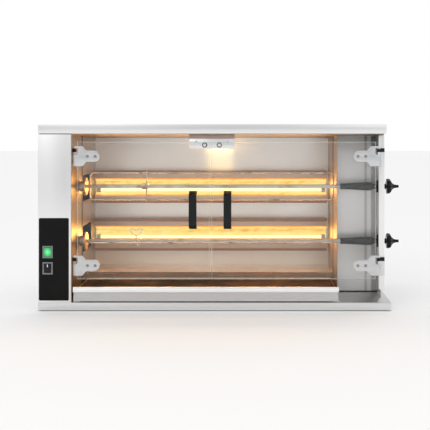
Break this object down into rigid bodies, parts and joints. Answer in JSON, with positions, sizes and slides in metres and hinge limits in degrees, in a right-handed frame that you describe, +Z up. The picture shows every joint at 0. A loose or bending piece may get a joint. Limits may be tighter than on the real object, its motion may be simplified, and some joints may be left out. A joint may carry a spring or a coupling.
{
  "type": "rotisserie oven",
  "caption": "Stainless rotisserie oven: driven spits in front of glowing quartz heaters, glass doors, a pull-out drip tray and sprung spit supports.",
  "frame": {"origin": "middle of the footprint, on the surface that the oven stands on", "axes": "+X to the right seen from the front, +Y to the back, +Z up"},
  "size_m": [1.041, 0.452, 0.529],
  "materials": {
    "casing_steel": "fine brushed",
    "foot_rubber": "matte",
    "cavity_steel": "brushed, heat tinted",
    "panel_black": "smooth, semi-matte",
    "switch_grey": "fine texture",
    "zinc": "zinc plated",
    "lamp_glass": "warm, frosted",
    "reflector_gold": "polished, glowing",
    "heater_quartz": "glowing quartz",
    "ceramic": "unglazed",
    "motor_grey": "cast, painted",
    "drive_steel": "oiled",
    "bronze": "sintered",
    "black_plastic": "gloss",
    "hinge_dark": "blackened",
    "hinge_zinc": "satin pressed",
    "door_glass": "clear",
    "handle_black": "semi-gloss",
    "green_lens": "lit lens",
    "spit_steel": "worn, heat tinted",
    "grip_grey": "semi-matte",
    "knob_black": "gloss",
    "tray_steel": "bright brushed",
    "grate_brown": "baked, seasoned"
  },
  "bodies": {
    "casing": {"base_plate": "casing_steel", "feet": "foot_rubber", "roof_panel": "casing_steel", "roof_liner": "cavity_steel", "cabinet_front": "casing_steel", "cabinet_side": "casing_steel", "control_panel": "panel_black", "switch_housings": "switch_grey", "rear_panel": "casing_steel", "cavity_back": "cavity_steel", "cavity_left_wall": "cavity_steel", "cavity_right_wall": "cavity_steel", "bay_back_panel": "casing_steel", "right_side_wall": "casing_steel", "rear_ledge": "cavity_steel", "tray_runners": "cavity_steel", "catch_bracket": "casing_steel", "catch_magnets": "zinc", "lamp_holder": "zinc", "lamp_glass": "lamp_glass", "reflectors": "reflector_gold", "heater_tubes": "heater_quartz", "tube_holders": "ceramic", "gear_motor": "motor_grey", "drive_chain": "drive_steel", "shaft_bearings": "bronze", "cable_gland": "black_plastic", "hinge_brackets": "hinge_dark", "pin_guides": "black_plastic", "casing_screws": "zinc", "upper_pin_spring": "zinc", "lower_pin_spring": "zinc"},
    "left_door": {"left_glass": "door_glass", "left_hinge_plates": "hinge_zinc", "left_handle": "handle_black", "left_door_screws": "zinc"},
    "right_door": {"right_glass": "door_glass", "right_hinge_plates": "hinge_zinc", "right_handle": "handle_black", "right_door_screws": "zinc"},
    "upper_spit": {"upper_coupling": "drive_steel", "upper_sprocket": "drive_steel", "upper_spit_bar": "spit_steel", "upper_wire_frame": "spit_steel", "upper_spit_handle": "grip_grey"},
    "lower_spit": {"lower_coupling": "drive_steel", "lower_sprocket": "drive_steel", "lower_spit_bar": "spit_steel", "lower_wire_frame": "spit_steel", "lower_spit_handle": "grip_grey"},
    "upper_fork_slide": {"upper_fork": "spit_steel"},
    "lower_fork_slide": {"lower_fork": "spit_steel"},
    "upper_pin": {"upper_support_pin": "zinc", "upper_pull_knob": "knob_black"},
    "lower_pin": {"lower_support_pin": "zinc", "lower_pull_knob": "knob_black"},
    "green_switch": {"green_rocker": "green_lens"},
    "black_switch": {"black_rocker": "black_plastic"},
    "tray": {"drip_tray": "tray_steel", "drip_grate": "grate_brown"}
  },
  "joints": [
    {"name": "left_door_hinge", "type": "hinge", "parent": "casing", "child": "left_door", "pos_m": [-0.4187, -0.193, 0.127], "axis": [0, 0, 1], "range_deg": [-90, 0]},
    {"name": "right_door_hinge", "type": "hinge", "parent": "casing", "child": "right_door", "pos_m": [0.4445, -0.193, 0.127], "axis": [0, 0, 1], "range_deg": [0, 90]},
    {"name": "lower_spit_spin", "type": "hinge", "parent": "casing", "child": "lower_spit", "pos_m": [0.3353, -0.091, 0.1826], "axis": [1, 0, 0], "continuous": true},
    {"name": "upper_spit_spin", "type": "hinge", "parent": "casing", "child": "upper_spit", "pos_m": [0.3353, -0.091, 0.3447], "axis": [1, 0, 0], "continuous": true},
    {"name": "upper_fork_slide", "type": "slide", "parent": "upper_spit", "child": "upper_fork_slide", "axis": [1, 0, 0], "range_m": [-0.14, 0.46]},
    {"name": "lower_fork_slide", "type": "slide", "parent": "lower_spit", "child": "lower_fork_slide", "axis": [1, 0, 0], "range_m": [-0.11, 0.49]},
    {"name": "upper_pin_pull", "type": "slide", "parent": "casing", "child": "upper_pin", "axis": [1, 0, 0], "range_m": [0, 0.008], "stiffness_N_per_m": 900, "springref_m": -0.006, "deforming": ["upper_pin_spring"]},
    {"name": "lower_pin_pull", "type": "slide", "parent": "casing", "child": "lower_pin", "axis": [1, 0, 0], "range_m": [0, 0.008], "stiffness_N_per_m": 900, "springref_m": -0.006, "deforming": ["lower_pin_spring"]},
    {"name": "green_rocker_tilt", "type": "hinge", "parent": "casing", "child": "green_switch", "pos_m": [-0.4925, -0.2101, 0.1676], "axis": [1, 0, 0], "range_deg": [-18, 0]},
    {"name": "black_rocker_tilt", "type": "hinge", "parent": "casing", "child": "black_switch", "pos_m": [-0.4925, -0.2101, 0.1217], "axis": [1, 0, 0], "range_deg": [-18, 0]},
    {"name": "tray_slide", "type": "slide", "parent": "casing", "child": "tray", "axis": [0, -1, 0], "range_m": [0, 0.18]}
  ],
  "couplings": [
    {"joint": "upper_spit_spin", "follows": "lower_spit_spin", "ratio": 1}
  ]
}
